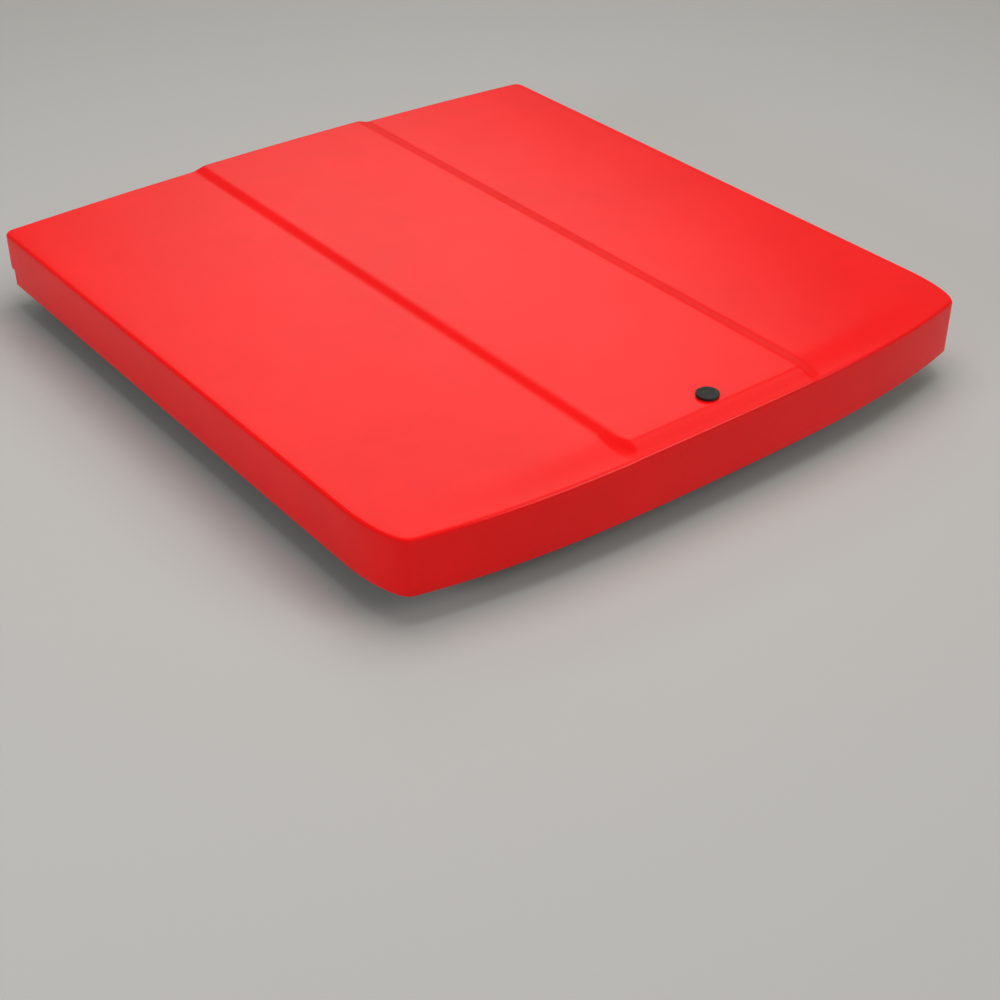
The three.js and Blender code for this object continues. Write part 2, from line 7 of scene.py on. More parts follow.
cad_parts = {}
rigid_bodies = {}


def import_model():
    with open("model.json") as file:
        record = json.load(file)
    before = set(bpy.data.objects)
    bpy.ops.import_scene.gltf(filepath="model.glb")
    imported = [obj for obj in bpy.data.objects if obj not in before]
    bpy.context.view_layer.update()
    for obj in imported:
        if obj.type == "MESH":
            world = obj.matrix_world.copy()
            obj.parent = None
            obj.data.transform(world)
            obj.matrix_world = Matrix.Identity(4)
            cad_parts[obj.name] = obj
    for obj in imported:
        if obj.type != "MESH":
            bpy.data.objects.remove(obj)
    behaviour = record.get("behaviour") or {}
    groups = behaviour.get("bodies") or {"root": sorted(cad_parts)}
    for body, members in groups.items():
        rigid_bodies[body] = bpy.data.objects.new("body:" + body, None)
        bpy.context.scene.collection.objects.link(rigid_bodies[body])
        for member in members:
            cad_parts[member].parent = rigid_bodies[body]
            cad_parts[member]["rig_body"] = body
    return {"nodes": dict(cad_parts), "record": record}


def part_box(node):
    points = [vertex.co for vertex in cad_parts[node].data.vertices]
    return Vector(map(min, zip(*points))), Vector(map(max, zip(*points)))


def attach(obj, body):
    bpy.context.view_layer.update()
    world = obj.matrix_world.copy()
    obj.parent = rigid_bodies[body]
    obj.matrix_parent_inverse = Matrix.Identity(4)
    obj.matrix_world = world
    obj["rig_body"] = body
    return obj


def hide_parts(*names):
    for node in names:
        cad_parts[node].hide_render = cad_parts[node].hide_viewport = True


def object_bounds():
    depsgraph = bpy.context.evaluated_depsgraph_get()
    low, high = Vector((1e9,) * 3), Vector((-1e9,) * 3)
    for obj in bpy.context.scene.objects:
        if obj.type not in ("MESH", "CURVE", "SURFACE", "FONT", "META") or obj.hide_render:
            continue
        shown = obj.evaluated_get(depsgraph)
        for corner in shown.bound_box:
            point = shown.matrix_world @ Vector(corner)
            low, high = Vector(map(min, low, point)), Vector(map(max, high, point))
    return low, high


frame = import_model()
cadLow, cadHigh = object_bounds()
mm = 0.001

# The camera looks down over the rear left corner of the cover.
camera = {
    "place": Vector((-2.3912, -4.0422, 2.1756)),
    "azimuth": -38.045,  # degrees, 0 looks along +Y
    "elevation": 34.755,
    "roll": 0.235,
    "lens": 62.885,
    "sensor": 36.0,
}

# Floor and studio lights; sizes and places in metres, power in watts.
studio = {
    "floorSize": 40.0,
    "floorColour": "#ACACAB",
    "floorRoughness": 0.8,
    "skyColour": "#FFFAF2",
    "skyLow": 0.24,  # brightness away from the glows
    "glows": [
        {"towards": (0.47, 0.66, 0.586), "edge": 0.9455, "level": 1.6},  # mirrored by the lid's top
        {"towards": (0.50, 0.05, 0.84), "edge": 0.88, "level": 1.2},  # mirrored by the ramp behind the panel
        {"towards": (0.50, -0.66, 0.54), "edge": 0.93, "level": 4.8},  # mirrored by the rounded rear edge
    ],
    "softboxes": {
        "overhead": {"place": (0.2, -1.0, 4.2), "aim": (0.0, -0.95, 0.1), "size": (3.2, 3.2), "power": 118},
        "rearFill": {"place": (-1.2, -7.6, 2.1), "aim": (0.0, -1.6, 0.1), "size": (3.4, 1.6), "power": 26},
        "leftFill": {"place": (-7.4, -1.8, 2.3), "aim": (-0.8, -1.0, 0.1), "size": (3.4, 1.6), "power": 205},
    },
}

# The lid's own shape. What a box gives is taken from the frame.
skinLow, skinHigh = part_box("lid_skin")
lid = {
    "halfWidth": skinHigh.x,
    "frontEdge": skinHigh.y,
    "rearApex": skinLow.y,
    "skirtFoot": skinLow.z,
    "cornerHeight": 144 * mm,
    "rearBow": 82 * mm,
    "bowPower": 3,
    "cornerSweep": 165 * mm,  # each rear corner is a quarter ellipse: this far along the side
    "cornerReach": 50 * mm,  # and this far across the rear
    "frontRadius": 25 * mm,
    "rearCrown": 8 * mm,
    "middleCrown": 18 * mm,
    "panelHalfWidth": 252 * mm,
    "panelSlope": 46 * mm,
    "panelRaise": 9 * mm,
    "sideRamp": 120 * mm,
    "panelRamp": 50 * mm,
    "notchY": -8 * mm,
    "notchFoot": 45 * mm,
    "edgeRadius": 9 * mm,
    "footRadius": 2 * mm,
    "wall": 3.6 * mm,
    "lockHole": 16.6 * mm,
    "lockHoleAbove": 100 * mm,  # only the upper face is cut
}
sides = ("left", "right")
clampRows = ("front", "middle", "rear")


def smoothStep(share):
    held = min(max(share, 0.0), 1.0)
    return held * held * (3 - 2 * held)


def mix(start, end, share):
    return start + (end - start) * share


def rearEdgeAt(x):
    bend = abs(x / lid["halfWidth"]) ** lid["bowPower"]
    return lid["rearApex"] + lid["rearBow"] * bend


def panelShare(x):
    foot = lid["panelHalfWidth"] + lid["panelSlope"]
    return smoothStep((foot - abs(x)) / lid["panelSlope"])


def lidTopAt(x, y):
    rampLength = mix(lid["sideRamp"], lid["panelRamp"], panelShare(x))
    ramp = smoothStep((y - rearEdgeAt(x)) / rampLength)
    across = 1 - (x / lid["halfWidth"]) ** 2
    crown = across * mix(lid["rearCrown"], lid["middleCrown"], ramp)
    return lid["cornerHeight"] + crown + lid["panelRaise"] * panelShare(x) * ramp


# An sRGB hex value as linear colour.
def hexColour(text):
    parts = [int(text[i:i + 2], 16) / 255 for i in (1, 3, 5)]
    linear = [c / 12.92 if c <= 0.04045 else ((c + 0.055) / 1.055) ** 2.4 for c in parts]
    return (*linear, 1.0)


def perMetre(millimetres):
    return 1000.0 / millimetres


def addNode(tree, kind, settings=None, values=None, links=None):
    node = tree.nodes.new(kind)
    for name, value in (settings or {}).items():
        setattr(node, name, value)
    for name, value in (values or {}).items():
        node.inputs[name].default_value = value
    for name, socket in (links or {}).items():
        tree.links.new(socket, node.inputs[name])
    return node


# What all the finishes' patterns share.
pattern = {
    "toneEdges": (0.32, 0.68),
    "glossEdges": (0.3, 0.7),
    "driftDetail": 5.0,
    "driftRoughness": 0.6,
    "glossDetail": 4.0,
    "grainDetail": 3.0,
    "cellSmoothness": 0.6,
}


# A shader whose colour drifts between two tones, whose roughness drifts too, and whose bump is one fine
# grain. Sizes and depths in a look are in millimetres.
def finishMaterial(name, look):
    material = bpy.data.materials.new(name)
    material.use_nodes = True
    tree = material.node_tree
    tree.nodes.clear()
    place = addNode(tree, "ShaderNodeTexCoord")
    stretch = addNode(tree, "ShaderNodeMapping", values={"Scale": look.get("stretch", (1, 1, 1))},
                      links={"Vector": place.outputs["Object"]})
    at = stretch.outputs["Vector"]
    drift = addNode(tree, "ShaderNodeTexNoise",
                    values={"Scale": perMetre(look["driftSize"]), "Detail": pattern["driftDetail"],
                            "Roughness": pattern["driftRoughness"]},
                    links={"Vector": at})
    ramp = addNode(tree, "ShaderNodeValToRGB", links={"Fac": drift.outputs["Fac"]})
    for stop, edge, tone in zip(ramp.color_ramp.elements, pattern["toneEdges"], ("dark", "light")):
        stop.position = edge
        stop.color = hexColour(look[tone])
    gloss = addNode(tree, "ShaderNodeTexNoise",
                    values={"Scale": perMetre(look["glossSize"]), "Detail": pattern["glossDetail"]},
                    links={"Vector": at})
    rough = addNode(tree, "ShaderNodeMapRange",
                    values={"From Min": pattern["glossEdges"][0], "From Max": pattern["glossEdges"][1],
                            "To Min": look["rough"][0], "To Max": look["rough"][1]},
                    links={"Value": gloss.outputs["Fac"]})
    if look.get("cells"):
        grain = addNode(tree, "ShaderNodeTexVoronoi", settings={"feature": "SMOOTH_F1"},
                        values={"Scale": perMetre(look["grainSize"]),
                                "Smoothness": pattern["cellSmoothness"]},
                        links={"Vector": at})
        height = grain.outputs["Distance"]
    else:
        grain = addNode(tree, "ShaderNodeTexNoise",
                        values={"Scale": perMetre(look["grainSize"]), "Detail": pattern["grainDetail"]},
                        links={"Vector": at})
        height = grain.outputs["Fac"]
    bump = addNode(tree, "ShaderNodeBump",
                   values={"Strength": 1.0, "Distance": look["grainDepth"] * mm},
                   links={"Height": height})
    shader = addNode(tree, "ShaderNodeBsdfPrincipled",
                     values={"Metallic": look.get("metallic", 0.0), **look.get("sockets", {})},
                     links={"Base Color": ramp.outputs["Color"], "Roughness": rough.outputs["Result"],
                            "Normal": bump.outputs["Normal"]})
    addNode(tree, "ShaderNodeOutputMaterial", links={"Surface": shader.outputs["BSDF"]})
    return material


# Red two-pack paint under clear lacquer, sprayed: deep even red, mirror-like coat with a trace of orange
# peel.
def makeRedLacquer():
    return finishMaterial("red_lacquered_paint", {
        "dark": "#DC0A0B", "light": "#E70D0E", "driftSize": 420, "glossSize": 160, "rough": (0.30, 0.36),
        "grainSize": 14, "grainDepth": 0.004,
        "sockets": {"Coat Weight": 0.3, "Coat Roughness": 0.035, "Coat IOR": 1.5, "IOR": 1.5,
                    "Specular IOR Level": 0.05},
    })


# ABS moulded in a textured tool: near-black, dull, with a fine leather-like grain.
def makeMouldedPlastic():
    return finishMaterial("moulded_black_plastic", {
        "dark": "#0D0F0E", "light": "#151716", "driftSize": 45, "glossSize": 12, "rough": (0.46, 0.62),
        "grainSize": 1.4, "grainDepth": 0.10, "cells": True, "sockets": {"IOR": 1.53},
    })


# The liner's sheet of the same family, vacuum formed: coarser grain, drawn at 5 mm so that it shows, and a
# waxy sheen.
def makeFormedLiner():
    return finishMaterial("vacuum_formed_liner", {
        "dark": "#1B1D1F", "light": "#26282A", "driftSize": 180, "glossSize": 60, "rough": (0.42, 0.58),
        "grainSize": 5, "grainDepth": 0.25, "cells": True, "sockets": {"IOR": 1.5},
    })


# Extruded aluminium as it leaves the die: pale grey with fine streaks along the bar.
def makeMillAluminium():
    return finishMaterial("mill_finish_aluminium", {
        "dark": "#A9ACAE", "light": "#C6C8CA", "driftSize": 60, "glossSize": 18, "rough": (0.30, 0.46),
        "grainSize": 3, "grainDepth": 0.012, "metallic": 1.0, "stretch": (1.0, 0.12, 1.0),
    })


# Extruded aluminium, etched and anodised black: satin, slightly brown-grey, with faint draw lines.
def makeBlackAnodised():
    return finishMaterial("black_anodised_aluminium", {
        "dark": "#26272A", "light": "#333438", "driftSize": 90, "glossSize": 25, "rough": (0.34, 0.48),
        "grainSize": 2, "grainDepth": 0.008, "metallic": 1.0, "stretch": (1.0, 0.1, 1.0),
    })


# EPDM sponge, extruded: matt black with a dusty bloom and open pores.
def makeSealRubber():
    return finishMaterial("extruded_seal_rubber", {
        "dark": "#121212", "light": "#1E1E1D", "driftSize": 30, "glossSize": 9, "rough": (0.72, 0.9),
        "grainSize": 1.2, "grainDepth": 0.12, "sockets": {"IOR": 1.52},
    })


# Pressed steel, zinc plated and passivated: blue-grey with cloudy patches and a soft shine.
def makeZincSteel():
    return finishMaterial("zinc_plated_steel", {
        "dark": "#9FA5A9", "light": "#C3C7C6", "driftSize": 22, "glossSize": 8, "rough": (0.22, 0.42),
        "grainSize": 1.6, "grainDepth": 0.015, "metallic": 1.0,
    })


# Drawn steel tube, dipped black: smooth satin paint with slight sag ripples.
def makeBlackSteel():
    return finishMaterial("black_coated_steel", {
        "dark": "#0D0D0E", "light": "#161618", "driftSize": 40, "glossSize": 14, "rough": (0.24, 0.36),
        "grainSize": 6, "grainDepth": 0.02,
        "sockets": {"IOR": 1.5, "Coat Weight": 0.4, "Coat Roughness": 0.12},
    })


# Ground bar, hard chromed: bright and nearly clean, with hair-fine grinding marks round it.
def makeChromedSteel():
    return finishMaterial("hard_chromed_steel", {
        "dark": "#CFD2D4", "light": "#E2E4E5", "driftSize": 30, "glossSize": 6, "rough": (0.06, 0.16),
        "grainSize": 1.0, "grainDepth": 0.004, "metallic": 1.0,
    })


finishes = {
    "painted_skin": makeRedLacquer(),
    "moulded_black_plastic": makeMouldedPlastic(),
    "mill_aluminium": makeMillAluminium(),
    "black_anodised_aluminium": makeBlackAnodised(),
    "seal_rubber": makeSealRubber(),
    "zinc_plated_steel": makeZincSteel(),
    "black_coated_steel": makeBlackSteel(),
    "chromed_steel": makeChromedSteel(),
}
linerFinish = makeFormedLiner()
print("materials made")


sharpAngle = math.radians(32)  # edges steeper than this stay crisp in the shading


def finishPiece(bm, name, body, slot, replaced=(), material=None):
    mesh = bpy.data.meshes.new(name)
    bm.to_mesh(mesh)
    bm.free()
    mesh.polygons.foreach_set("use_smooth", [True] * len(mesh.polygons))
    mesh.set_sharp_from_angle(angle=sharpAngle)
    piece = bpy.data.objects.new(name, mesh)
    bpy.context.scene.collection.objects.link(piece)
    mesh.materials.append(material or finishes[slot])
    if replaced:
        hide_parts(*replaced)
    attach(piece, body)
    return piece


# Positions along one direction: each run goes to its end in even steps.
def spaced(start, *runs):
    places = [start]
    for end, steps in runs:
        begin = places[-1]
        places += [mix(begin, end, step / steps) for step in range(1, steps + 1)]
    return places


# The stretches of the lid's outline.
rearZone, rearCornerZone, sideZone, frontCornerZone, frontZone = range(5)


# The outline at a given inset. Along is an angle on the corners and a coordinate elsewhere.
def outlineAt(zone, along, sign, inset):
    side = lid["halfWidth"] - inset
    front = lid["frontEdge"] - inset
    if zone == rearZone:
        return along, rearEdgeAt(along) + inset
    if zone == rearCornerZone:
        reach = lid["cornerReach"] - inset
        x = side - reach * (1 - math.cos(along))
        return sign * x, rearEdgeAt(x) + inset + (lid["cornerSweep"] - inset) * (1 - math.sin(along))
    if zone == sideZone:
        return sign * side, along
    if zone == frontCornerZone:
        radius = lid["frontRadius"] - inset
        x = side - radius * (1 - math.cos(along))
        return sign * x, front - radius * (1 - math.sin(along))
    return along, front


# How finely the lid is divided. A run is where it ends and in how many steps.
lidGrid = {
    "columnRuns": ((24 * mm, 4), (238 * mm, 9), (312 * mm, 16), (690 * mm, 13)),  # out from the middle
    "outerSteps": 8,
    "rearCornerSteps": 20,
    "bowedRun": (260 * mm, 9),  # rows that follow the rear edge's bow
    "straightRun": (1.0, 26),
    "notchStep": 0.4 * mm,
    "frontCornerSteps": 5,
    "roundSteps": 6,
    "skirtRun": (1.0, 7),
    "footSteps": 3,
}


# The skin's upper face starts as a grid. Its rows follow the bowed rear edge and turn straight towards the
# cab.
def makeLidSkin():
    edge = lid["edgeRadius"]
    columns = spaced(0.0, *lidGrid["columnRuns"])
    outerSteps = lidGrid["outerSteps"]
    innerX = columns[-1]
    halfCount = len(columns) - 1 + outerSteps
    sweep = lid["cornerSweep"] - edge
    frontRadius = lid["frontRadius"] - edge
    rows = []  # distance ahead of the rear edge, share towards the straight line, that line, zone, along
    for step in range(lidGrid["rearCornerSteps"] + 1):
        turn = math.pi / 2 * (1 - step / lidGrid["rearCornerSteps"])
        rows.append((sweep * (1 - math.sin(turn)), 0.0, 0.0, rearCornerZone, turn))
    for ahead in spaced(sweep, lidGrid["bowedRun"])[1:]:
        rows.append((ahead, 0.0, 0.0, sideZone, 0.0))
    behindNotch = lid["notchY"] - lidGrid["notchStep"]
    for share in spaced(0.0, lidGrid["straightRun"])[1:]:
        rows.append((lidGrid["bowedRun"][0], share, behindNotch, sideZone, 0.0))
    rows.append((0.0, 1.0, lid["notchY"] + lidGrid["notchStep"], sideZone, 0.0))
    frontLine = lid["frontEdge"] - edge
    for step in range(lidGrid["frontCornerSteps"] + 1):
        turn = math.pi / 2 * step / lidGrid["frontCornerSteps"]
        y = frontLine - frontRadius * (1 - math.sin(turn))
        rows.append((0.0, 1.0, y, frontCornerZone, turn))

    bm = bmesh.new()
    bmesh.ops.create_grid(bm, x_segments=2 * halfCount, y_segments=len(rows) - 1, size=1)
    zoneOf = bm.verts.layers.int.new("zone")
    alongOf = bm.verts.layers.float.new("along")
    signOf = bm.verts.layers.int.new("sign")
    topOf = bm.verts.layers.float.new("top")
    for vert in bm.verts:
        column = round(vert.co.x * halfCount)
        row = round((vert.co.y + 1) / 2 * (len(rows) - 1))
        ahead, share, line, zone, turn = rows[row]
        sign = -1 if column < 0 else 1
        step = abs(column)
        reach = outlineAt(zone, turn, 1, edge)[0]
        if step < len(columns):
            x = sign * columns[step]
        else:
            x = sign * mix(innerX, reach, (step - len(columns) + 1) / outerSteps)
        y = mix(rearEdgeAt(x) + edge + ahead, line, share)
        vert.co = (x, y, lidTopAt(x, y))
        if row == 0:
            vert[zoneOf], vert[alongOf] = rearZone, x
        elif row == len(rows) - 1:
            vert[zoneOf], vert[alongOf] = frontZone, x
        elif zone == sideZone:
            vert[zoneOf], vert[alongOf] = sideZone, y
        else:
            vert[zoneOf], vert[alongOf] = zone, turn
        vert[signOf] = sign
        vert[topOf] = vert.co.z

    # rounded edge, skirt and rounded foot, one ring of extruded edges after another
    rim = [e for e in bm.edges if e.is_boundary]
    rings = []
    for step in range(1, lidGrid["roundSteps"] + 1):
        turn = math.pi / 2 * step / lidGrid["roundSteps"]
        rings.append(("round", edge * (1 - math.sin(turn)), edge * (1 - math.cos(turn))))
    for share in spaced(0.0, lidGrid["skirtRun"])[1:]:
        rings.append(("skirt", 0.0, share))
    foot = lid["footRadius"]
    for step in range(1, lidGrid["footSteps"] + 1):
        turn = math.pi / 2 * step / lidGrid["footSteps"]
        rings.append(("foot", foot * (1 - math.cos(turn)), foot * (1 - math.sin(turn))))
    for kind, inset, amount in rings:
        made = bmesh.ops.extrude_edge_only(bm, edges=rim)["geom"]
        rim = [g for g in made if isinstance(g, bmesh.types.BMEdge)]
        for vert in (g for g in made if isinstance(g, bmesh.types.BMVert)):
            x, y = outlineAt(vert[zoneOf], vert[alongOf], vert[signOf], inset)
            skirtEnd = lid["notchFoot"] if y > lid["notchY"] else lid["skirtFoot"]
            if kind == "round":
                z = vert[topOf] - amount
            elif kind == "skirt":
                z = mix(vert[topOf] - edge, skirtEnd + foot, amount)
            else:
                z = skirtEnd + amount
            vert.co = (x, y, z)

    # the lock's hole
    lockLow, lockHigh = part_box("key_cylinder")
    centre = (lockLow + lockHigh) / 2
    inside = []
    for face in bm.faces:
        middle = face.calc_center_median() - centre
        if middle.z + centre.z > lid["lockHoleAbove"] and middle.xy.length < lid["lockHole"]:
            inside.append(face)
    bmesh.ops.delete(bm, geom=inside, context="FACES")
    for vert in bm.verts:
        away = (vert.co - centre).xy.length
        if vert.is_boundary and away < 2 * lid["lockHole"]:
            x = centre.x + (vert.co.x - centre.x) * lid["lockHole"] / away
            y = centre.y + (vert.co.y - centre.y) * lid["lockHole"] / away
            vert.co = (x, y, lidTopAt(x, y))
    bmesh.ops.recalc_face_normals(bm, faces=bm.faces)
    piece = finishPiece(bm, "lid_skin_shell", "lid", "painted_skin", ["lid_skin"])
    wall = piece.modifiers.new("wall", "SOLIDIFY")
    wall.thickness = lid["wall"]
    wall.offset = -1
    wall.use_even_offset = True
    return piece


makeLidSkin()
print("lid skin made")


# Moves what was added after a mark onto its place, turned so that its +Z looks along an axis.
def putInPlace(bm, before, place, axis):
    fresh = [vert for vert in bm.verts if vert not in before]
    turn = Vector((0, 0, 1)).rotation_difference(Vector(axis)).to_matrix().to_4x4()
    bmesh.ops.transform(bm, matrix=Matrix.Translation(place) @ turn, verts=fresh)


# A chain of (radius, height) points spun about +Z.
def addSpun(bm, profile, place, axis=(0, 0, 1), steps=48):
    before = set(bm.verts)
    verts = [bm.verts.new((radius, 0, height)) for radius, height in profile]
    edges = [bm.edges.new((a, b)) for a, b in zip(verts, verts[1:])]
    bmesh.ops.spin(bm, geom=verts + edges, cent=(0, 0, 0), axis=(0, 0, 1), angle=2 * math.pi,
                   steps=steps, use_merge=True)
    putInPlace(bm, before, place, axis)


chamferShare = 0.14  # of a six-sided head's radius and height
mergeWithin = 0.005 * mm


# A six-sided head whose top is drawn in to a chamfer.
def addHexHead(bm, radius, height, place, axis):
    before = set(bm.verts)
    body = height * (1 - chamferShare)
    bmesh.ops.create_cone(bm, cap_ends=True, segments=6, radius1=radius, radius2=radius, depth=body)
    fresh = [face for face in bm.faces if not before.intersection(face.verts)]
    top = max(fresh, key=lambda face: face.calc_center_median().z)
    bmesh.ops.inset_individual(bm, faces=[top], thickness=radius * chamferShare, depth=height * chamferShare)
    lift = [vert for vert in bm.verts if vert not in before]
    bmesh.ops.translate(bm, verts=lift, vec=(0, 0, body / 2))
    putInPlace(bm, before, place, axis)


def closeSpun(bm):
    bmesh.ops.remove_doubles(bm, verts=bm.verts, dist=mergeWithin)
    bmesh.ops.recalc_face_normals(bm, faces=bm.faces)


# Dust cover: a moulded disc with a rounded rim, a flat ring and a shallow dish.
dustCover = {
    "foot": 0.5 * mm,
    "rim": 1.1 * mm,
    "rimSteps": 4,
    "dishRadius": 15 * mm,
    "dishDepth": 0.7 * mm,
    "dishCrown": 0.2,  # how far the dish rises again at its middle, as a share of its depth
}


def makeDustCover():
    low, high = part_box("lock_dust_cover")
    radius = (high.x - low.x) / 2
    top = high.z - low.z
    foot = dustCover["foot"]
    rim = dustCover["rim"]
    dish = dustCover["dishRadius"]
    depth = dustCover["dishDepth"]
    profile = [(0, 0), (radius - foot, 0), (radius, foot), (radius, top - rim)]
    for step in range(1, dustCover["rimSteps"] + 1):
        turn = math.pi / 2 * step / dustCover["rimSteps"]
        profile.append((radius - rim * (1 - math.cos(turn)), top - rim * (1 - math.sin(turn))))
    profile += [(dish + 1.2 * mm, top), (dish + 0.6 * mm, top - 0.2 * mm)]
    profile += [(dish, top - depth * 0.85), (dish - 1.5 * mm, top - depth)]
    profile.append((0, top - depth * (1 - dustCover["dishCrown"])))
    bm = bmesh.new()
    addSpun(bm, profile, ((low.x + high.x) / 2, (low.y + high.y) / 2, low.z), steps=64)
    closeSpun(bm)
    return finishPiece(bm, "dust_cover_disc", "dust_cover", "moulded_black_plastic", ["lock_dust_cover"])


# Lock barrel: a thin bezel with a rounded rim over a threaded barrel, bored for the key cylinder.
lockBarrel = {
    "radius": 16 * mm,
    "bore": 11.4 * mm,
    "boreChamfer": 1 * mm,
    "bezel": 2.5 * mm,
    "bezelFoot": 0.3 * mm,
    "rim": 0.8 * mm,
    "footChamfer": 1.5 * mm,
    "threadFrom": 2.5 * mm,
    "threadClear": 6 * mm,  # plain length left under the bezel
    "pitch": 3.0 * mm,
    "threadDepth": 0.9 * mm,
    "neckInset": 0.2 * mm,
    "neckLength": 4 * mm,
}


def makeLockBarrel():
    low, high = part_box("lock_barrel")
    height = high.z - low.z
    outer = lockBarrel["radius"]
    root = outer - lockBarrel["threadDepth"]
    neck = outer - lockBarrel["neckInset"]
    bore = lockBarrel["bore"]
    boreChamfer = lockBarrel["boreChamfer"]
    footChamfer = lockBarrel["footChamfer"]
    pitch = lockBarrel["pitch"]
    bezelRadius = (high.x - low.x) / 2
    bezelFoot = lockBarrel["bezelFoot"]
    under = height - lockBarrel["bezel"]
    rim = lockBarrel["rim"]
    profile = [(bore, 0), (outer - footChamfer, 0), (root, footChamfer)]
    at = lockBarrel["threadFrom"]
    while at < under - lockBarrel["threadClear"]:
        profile += [(outer, at + pitch * 0.4), (root, at + pitch * 0.9)]
        at += pitch
    profile += [(neck, under - lockBarrel["neckLength"]), (neck, under)]
    profile += [(bezelRadius - bezelFoot, under), (bezelRadius, under + bezelFoot)]
    profile.append((bezelRadius, height - rim))
    profile += [(bezelRadius - 0.3 * rim, height - 0.3 * rim), (bezelRadius - rim, height)]
    profile += [(bore + boreChamfer, height), (bore, height - boreChamfer), (bore, 0)]
    bm = bmesh.new()
    addSpun(bm, profile, ((low.x + high.x) / 2, (low.y + high.y) / 2, low.z), steps=56)
    closeSpun(bm)
    return finishPiece(bm, "lock_barrel_threaded", "lid", "moulded_black_plastic", ["lock_barrel"])


# Gas struts: a chromed rod in a black tube with a rolled groove and drawn-in ends, each with a ball joint.
# An outline lists (drop below the radius, distance from that end) in millimetres.
strut = {
    "eyeRadius": 10 * mm,
    "eyeWidth": 9 * mm,
    "eyeEdge": 1.8 * mm,
    "ballInner": 4.6 * mm,
    "ballOuter": 5.4 * mm,
    "ballGap": 0.6 * mm,
    "rodRadius": 5 * mm,
    "rodFoot": 6 * mm,
    "rodEnd": 180 * mm,
    "collarRadius": 7 * mm,
    "tubeRadius": 11 * mm,
    "tubeStart": 28 * mm,
    "tubeMouth": ((3.6, 0), (3.0, 0.6), (3.0, 2.4), (1.6, 4), (0.4, 6), (0, 8), (0, 14)),
    "tubeGroove": ((0.7, 15.5), (0.7, 16.5), (0, 18)),
    "tubeTail": ((0, 7), (0.5, 4.5), (2.2, 2), (5, 0)),
    "shankEnd": 6 * mm,
}


def addStrutEye(bm, place):
    radius = strut["eyeRadius"]
    half = strut["eyeWidth"] / 2
    soft = strut["eyeEdge"]
    inner = strut["ballInner"]
    outer = strut["ballOuter"]
    gap = strut["ballGap"]
    profile = [(0, -half), (inner, -half), (inner, -half + gap), (outer, -half + gap)]
    profile += [(outer, -half), (radius - soft, -half), (radius - 0.5 * mm, -half + 0.5 * mm)]
    profile += [(radius, -half + soft), (radius, half - soft), (radius - 0.5 * mm, half - 0.5 * mm)]
    profile += [(radius - soft, half), (0, half)]
    addSpun(bm, profile, place, (1, 0, 0), steps=32)


def makeStrut(side):
    rodLow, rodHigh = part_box(f"strut_rod_{side}")
    studLow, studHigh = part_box(f"strut_top_stud_{side}")
    centreX = (rodLow.x + rodHigh.x) / 2
    foot = Vector((centreX, rodHigh.y - strut["eyeRadius"], rodLow.z + strut["eyeRadius"]))
    head = Vector((centreX, (studLow.y + studHigh.y) / 2, (studLow.z + studHigh.z) / 2))
    axis = (head - foot).normalized()
    length = (head - foot).length

    rod = strut["rodRadius"]
    start = strut["rodFoot"]
    end = strut["rodEnd"]
    collar = strut["collarRadius"]
    profile = [(0, start), (collar, start), (collar, start + 8 * mm), (rod, start + 9.5 * mm)]
    profile += [(rod, end - 1 * mm), (rod - 1 * mm, end), (0, end)]
    bm = bmesh.new()
    addSpun(bm, profile, foot, axis, steps=32)
    addStrutEye(bm, foot)
    closeSpun(bm)
    finishPiece(bm, f"strut_rod_{side}_turned", f"strut_rod_{side}", "chromed_steel", [f"strut_rod_{side}"])

    tube = strut["tubeRadius"]
    near = strut["tubeStart"]
    far = length - strut["eyeRadius"]
    shankEnd = length - strut["shankEnd"]
    profile = [(0, near)]
    profile += [(tube - drop * mm, near + on * mm) for drop, on in strut["tubeMouth"] + strut["tubeGroove"]]
    profile += [(tube - drop * mm, far - back * mm) for drop, back in strut["tubeTail"]]
    profile += [(rod, far + 2 * mm), (rod, shankEnd), (0, shankEnd)]
    bm = bmesh.new()
    addSpun(bm, profile, foot, axis, steps=40)
    addStrutEye(bm, head)
    closeSpun(bm)
    finishPiece(bm, f"strut_cylinder_{side}_turned", f"strut_cylinder_{side}", "black_coated_steel",
                [f"strut_cylinder_{side}"])


# Clamp screws: six-sided head, rolled thread and a swivel pad.
clampScrew = {
    "headRadius": 10.3 * mm,
    "headHeight": 9 * mm,
    "faceRadius": 8.6 * mm,  # the washer face under the head
    "faceHeight": 0.5 * mm,
    "radius": 4.8 * mm,
    "threadDepth": 0.7 * mm,
    "pitch": 2.0 * mm,  # coarser than the real thread, so that it shows
    "threadClear": 3.5 * mm,  # plain length left before the pad
    "padRadius": 8.8 * mm,
    "pad": 4 * mm,
    "padBackEdge": 0.6 * mm,
    "padFrontEdge": 0.8 * mm,
}


